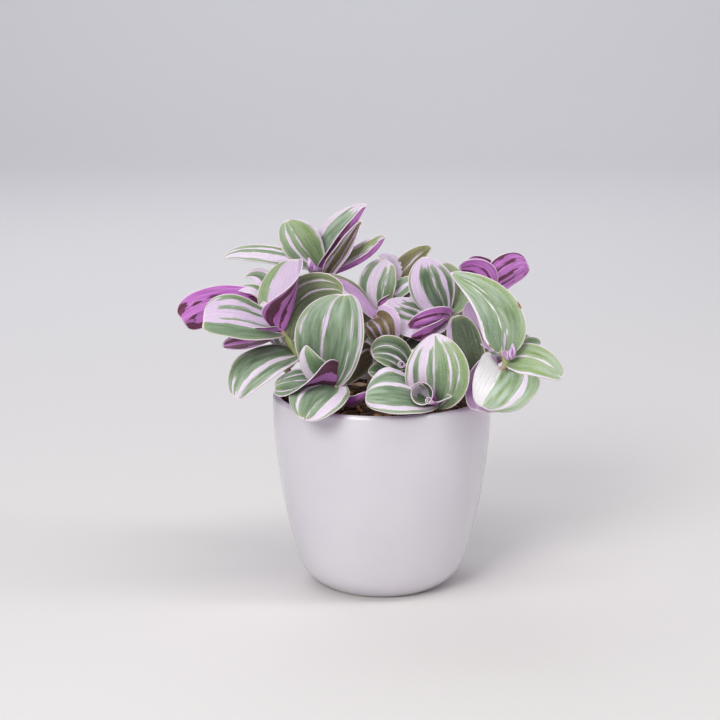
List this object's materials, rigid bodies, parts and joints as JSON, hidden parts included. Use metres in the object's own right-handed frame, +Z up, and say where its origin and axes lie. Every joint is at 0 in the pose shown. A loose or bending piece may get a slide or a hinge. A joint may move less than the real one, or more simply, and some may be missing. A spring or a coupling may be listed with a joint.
{
  "type": "potted tradescantia",
  "caption": "Bushy tradescantia with striped ovate leaves, growing in soil in a small egg-shaped glazed pot.",
  "frame": {"origin": "centre of the pot's flat underside", "axes": "+Z up along the pot's axis, -Y towards the front of the plant, +X to the right as seen from the front"},
  "size_m": [0.2256, 0.1663, 0.2266],
  "materials": {
    "glazed_pot": "satin gloss glaze",
    "potting_soil": "rough, matte",
    "leaf_and_stem": "soft sheen"
  },
  "bodies": {
    "root": {"pot": "glazed_pot", "soil": "potting_soil", "shoot_front_left": "leaf_and_stem", "shoot_front": "leaf_and_stem", "shoot_right": "leaf_and_stem", "shoot_low_centre": "leaf_and_stem", "shoot_left": "leaf_and_stem", "shoot_far_left": "leaf_and_stem", "shoot_top_left": "leaf_and_stem", "shoot_centre_left": "leaf_and_stem", "shoot_centre": "leaf_and_stem", "shoot_centre_back": "leaf_and_stem", "shoot_centre_right": "leaf_and_stem", "shoot_top_right": "leaf_and_stem", "shoot_side_left": "leaf_and_stem", "shoot_side_right": "leaf_and_stem", "shoot_back_left": "leaf_and_stem", "shoot_back": "leaf_and_stem", "shoot_back_right": "leaf_and_stem"}
  },
  "joints": []
}
